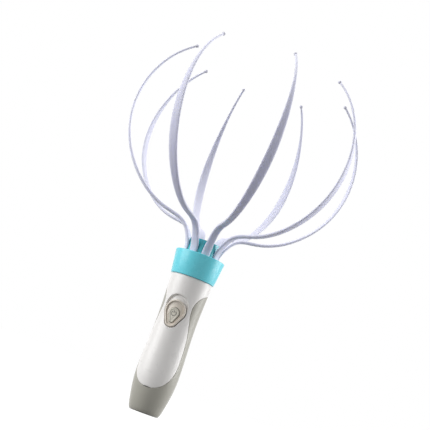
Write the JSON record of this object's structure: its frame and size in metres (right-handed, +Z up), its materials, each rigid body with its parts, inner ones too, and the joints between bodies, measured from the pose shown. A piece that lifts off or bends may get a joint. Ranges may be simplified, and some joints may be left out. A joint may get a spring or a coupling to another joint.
{
  "type": "electric scalp massager",
  "caption": "Handheld battery scalp massager: round two-tone handle with a teardrop power button, flared collar and a cage of long curved bead-tipped claws",
  "frame": {"origin": "centre of the flat lower end of the handle, which the massager stands on", "axes": "+Z up the handle towards the claws, -Y out of the power button, +X to the right seen from the button side"},
  "size_m": [0.1775, 0.1779, 0.2772],
  "materials": {
    "white_shell": "warm white ABS, satin gloss",
    "grey_shell": "warm grey ABS, satin gloss",
    "teal_collar": "teal ABS, glossy",
    "teal_crown": "darker teal ABS, satin",
    "beige_bezel": "beige plastic with a pinkish dish, satin",
    "beige_button": "beige plastic with a raised power symbol, satin",
    "claw_plastic": "translucent lilac white plastic, smooth",
    "tip_plastic": "lilac grey plastic, smooth",
    "circuit_board": "green solder mask",
    "black_plastic": "black moulded plastic",
    "battery_wrap": "plain dark wrap",
    "nickel": "nickel plated spring steel",
    "steel_can": "plated steel",
    "white_nylon": "natural nylon",
    "ferrite": "dark sintered ferrite",
    "copper_rotor": "lacquered copper windings on a steel core",
    "brass_weight": "turned brass",
    "screw_steel": "zinc plated steel",
    "wire_red": "red insulated wire"
  },
  "bodies": {
    "handle": {"front_shell": "white_shell", "rear_shell": "grey_shell", "collar_ring": "teal_collar", "claw_hub": "teal_crown", "claw_retainer": "teal_crown", "button_bezel": "beige_bezel", "switch_board": "circuit_board", "tact_switch": "black_plastic", "battery_tray": "black_plastic", "battery_1": "battery_wrap", "battery_2": "battery_wrap", "contact_bridge": "nickel", "contact_positive": "nickel", "contact_negative": "nickel", "battery_springs": "nickel", "motor_can": "steel_can", "motor_end_cap": "white_nylon", "motor_magnets": "ferrite", "motor_terminals": "nickel", "motor_cradle": "white_nylon", "housing_screws": "screw_steel", "retainer_screws": "screw_steel", "battery_leads": "wire_red", "motor_leads": "wire_red"},
    "button": {"power_button": "beige_button", "switch_pin": "black_plastic"},
    "rotor": {"motor_rotor": "copper_rotor", "motor_shaft": "steel_can", "eccentric_weight": "brass_weight"},
    "door": {"battery_door": "grey_shell"},
    "claw_arm_1": {"claw_1": "claw_plastic", "claw_tip_1": "tip_plastic"},
    "claw_arm_2": {"claw_2": "claw_plastic", "claw_tip_2": "tip_plastic"},
    "claw_arm_3": {"claw_3": "claw_plastic", "claw_tip_3": "tip_plastic"},
    "claw_arm_4": {"claw_4": "claw_plastic", "claw_tip_4": "tip_plastic"},
    "claw_arm_5": {"claw_5": "claw_plastic", "claw_tip_5": "tip_plastic"},
    "claw_arm_6": {"claw_6": "claw_plastic", "claw_tip_6": "tip_plastic"},
    "claw_arm_7": {"claw_7": "claw_plastic", "claw_tip_7": "tip_plastic"},
    "claw_arm_8": {"claw_8": "claw_plastic", "claw_tip_8": "tip_plastic"}
  },
  "joints": [
    {"name": "button_press", "type": "slide", "parent": "handle", "child": "button", "axis": [0, 1, 0], "range_m": [0, 0.0006], "stiffness_N_per_m": 1500},
    {"name": "motor_spin", "type": "hinge", "parent": "handle", "child": "rotor", "pos_m": [0, 0, 0], "axis": [0, 0, 1], "continuous": true},
    {"name": "door_tip", "type": "hinge", "parent": "handle", "child": "door", "pos_m": [0, 0.01458, 0.014], "axis": [-1, 0, 0], "range_deg": [0, 75]},
    {"name": "claw_1_flex", "type": "hinge", "parent": "handle", "child": "claw_arm_1", "pos_m": [0.00636, -0.01088, 0.1111], "axis": [0.8634, 0.5045, 0], "range_deg": [0, 10], "stiffness_Nm_per_rad": 0.5},
    {"name": "claw_2_flex", "type": "hinge", "parent": "handle", "child": "claw_arm_2", "pos_m": [0.01219, -0.0032, 0.1111], "axis": [0.2538, 0.9673, 0], "range_deg": [0, 10], "stiffness_Nm_per_rad": 0.5},
    {"name": "claw_3_flex", "type": "hinge", "parent": "handle", "child": "claw_arm_3", "pos_m": [0.01088, 0.00636, 0.1111], "axis": [-0.5045, 0.8634, 0], "range_deg": [0, 10], "stiffness_Nm_per_rad": 0.5},
    {"name": "claw_4_flex", "type": "hinge", "parent": "handle", "child": "claw_arm_4", "pos_m": [0.0032, 0.01219, 0.1111], "axis": [-0.9673, 0.2538, 0], "range_deg": [0, 10], "stiffness_Nm_per_rad": 0.5},
    {"name": "claw_5_flex", "type": "hinge", "parent": "handle", "child": "claw_arm_5", "pos_m": [-0.00636, 0.01088, 0.1111], "axis": [-0.8634, -0.5045, 0], "range_deg": [0, 10], "stiffness_Nm_per_rad": 0.5},
    {"name": "claw_6_flex", "type": "hinge", "parent": "handle", "child": "claw_arm_6", "pos_m": [-0.01219, 0.0032, 0.1111], "axis": [-0.2538, -0.9673, 0], "range_deg": [0, 10], "stiffness_Nm_per_rad": 0.5},
    {"name": "claw_7_flex", "type": "hinge", "parent": "handle", "child": "claw_arm_7", "pos_m": [-0.01088, -0.00636, 0.1111], "axis": [0.5045, -0.8634, 0], "range_deg": [0, 10], "stiffness_Nm_per_rad": 0.5},
    {"name": "claw_8_flex", "type": "hinge", "parent": "handle", "child": "claw_arm_8", "pos_m": [-0.0032, -0.01219, 0.1111], "axis": [0.9673, -0.2538, 0], "range_deg": [0, 10], "stiffness_Nm_per_rad": 0.5}
  ]
}
